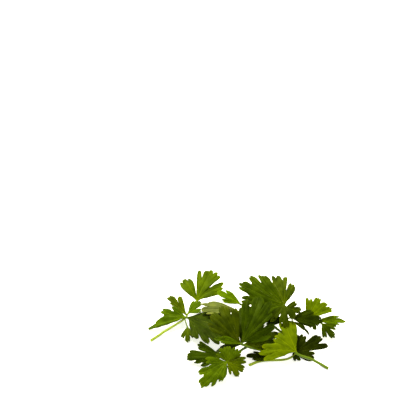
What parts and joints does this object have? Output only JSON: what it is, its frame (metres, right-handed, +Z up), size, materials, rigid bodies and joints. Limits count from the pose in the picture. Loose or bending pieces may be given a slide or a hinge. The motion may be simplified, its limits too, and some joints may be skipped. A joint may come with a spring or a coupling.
{
  "type": "parsley bunch",
  "caption": "Loose bunch of flat-leaf parsley lying down: thin green stalks with lobed, toothed leaflets heaped across one another.",
  "frame": {"origin": "on the surface the bunch lies on, under the middle of its bounding box", "axes": "+Z up from the surface, +X along the bunch's longest side to the right, +Y to its back"},
  "size_m": [0.1424, 0.1022, 0.0386],
  "materials": {
    "leaf": "fresh leaf: mid to dark green with a soft satin sheen above and fine paler veins, paler and matt below; young leaflets yellow-green",
    "stalk": "juicy pale yellow-green stalk, finely grooved lengthwise, satin"
  },
  "bodies": {
    "root": {"sprig_left": "leaf", "sprig_centre": "leaf", "sprig_tall": "leaf", "sprig_front": "leaf", "sprig_low": "leaf", "sprig_back": "leaf"}
  },
  "joints": []
}
